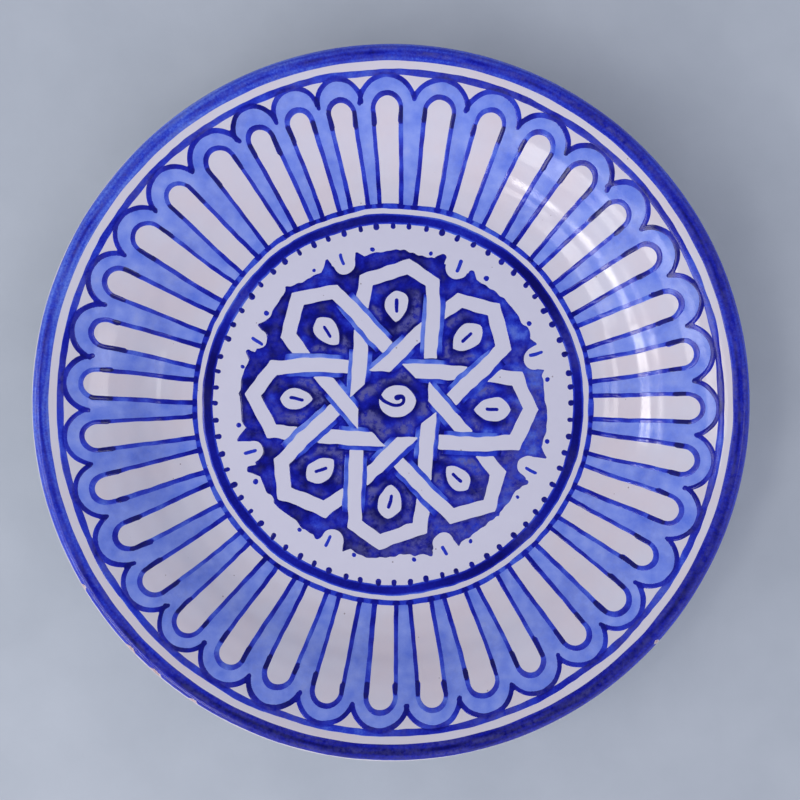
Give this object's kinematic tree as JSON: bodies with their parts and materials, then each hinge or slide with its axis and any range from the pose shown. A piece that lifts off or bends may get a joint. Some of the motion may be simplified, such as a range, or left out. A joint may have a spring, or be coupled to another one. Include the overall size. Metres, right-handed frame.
{
  "type": "hand painted ceramic plate",
  "caption": "Shallow round dish with a turned foot ring, white glaze and cobalt brushwork: an interlace at the centre, a ring of petals on the wall and a blue rim.",
  "frame": {"origin": "centre of the circle that the foot ring rests on", "axes": "+Z up along the turning axis, painted face up; +X to the right and +Y up as the painted face is looked at, with the tail of the centre comma leaving to the left"},
  "size_m": [0.32, 0.32, 0.0422],
  "materials": {
    "bare_clay": "matt, fired earthenware",
    "white_glaze": "glossy tin white with a cool cast",
    "white_glaze_back": "glossy tin white",
    "cobalt_rim": "glossy cobalt, grainy and wheel banded",
    "cobalt_border": "glossy cobalt",
    "cobalt_wash": "glossy pale cobalt wash",
    "cobalt_petals": "glossy cobalt brush lines",
    "cobalt_rings": "glossy cobalt brush lines",
    "cobalt_ground": "glossy deep cobalt, brush marked",
    "cobalt_edge_lines": "glossy mid cobalt",
    "cobalt_marks": "glossy cobalt brush marks"
  },
  "bodies": {
    "root": {"clay_body": "bare_clay", "glaze_front": "white_glaze", "glaze_back": "white_glaze_back", "glaze_foot_well": "white_glaze_back", "rim_band": "cobalt_rim", "border_line": "cobalt_border", "petal_wash": "cobalt_wash", "scallop_outlines": "cobalt_petals", "petal_outlines": "cobalt_petals", "medallion_outer_line": "cobalt_rings", "medallion_ring": "cobalt_rings", "bead_teeth": "cobalt_rings", "interlace_ground": "cobalt_ground", "strap_edge_lines": "cobalt_edge_lines", "seed_strokes": "cobalt_marks", "centre_swirl": "cobalt_marks", "field_marks": "cobalt_marks"}
  },
  "joints": []
}
